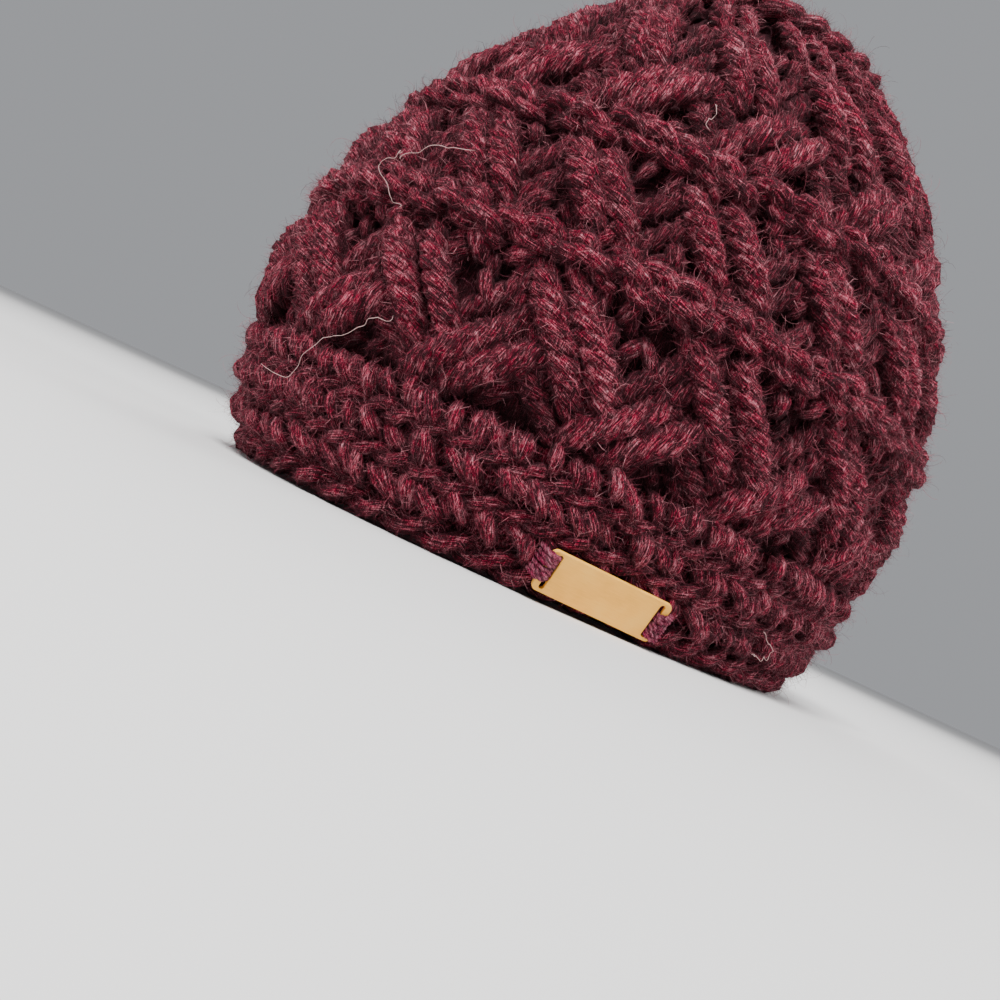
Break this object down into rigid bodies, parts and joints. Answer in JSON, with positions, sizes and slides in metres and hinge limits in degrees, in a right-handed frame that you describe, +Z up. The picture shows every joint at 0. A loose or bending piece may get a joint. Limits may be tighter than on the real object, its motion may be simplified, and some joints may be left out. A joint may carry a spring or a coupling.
{
  "type": "ponytail beanie",
  "caption": "Thick crocheted beanie with crossed cable tiers between raised ridge rounds, an open ponytail hole at the crown and a blank tag tied to the brim.",
  "frame": {"origin": "on the floor under the middle of the hat, which stands on its brim", "axes": "+Z up from brim to ponytail opening, -Y the face side, +X the wearer's left"},
  "size_m": [0.2032, 0.2403, 0.204],
  "materials": {
    "hat_yarn": "matte",
    "tag_plate": "satin",
    "tie_yarn": "matte"
  },
  "bodies": {
    "root": {"brim_band": "hat_yarn", "lower_cable_tier": "hat_yarn", "lower_ridge_round": "hat_yarn", "middle_cable_tier": "hat_yarn", "upper_ridge_round": "hat_yarn", "crown_tier": "hat_yarn", "ponytail_edging": "hat_yarn", "blank_tag": "tag_plate", "tag_tie_front": "tie_yarn", "tag_tie_back": "tie_yarn"}
  },
  "joints": []
}
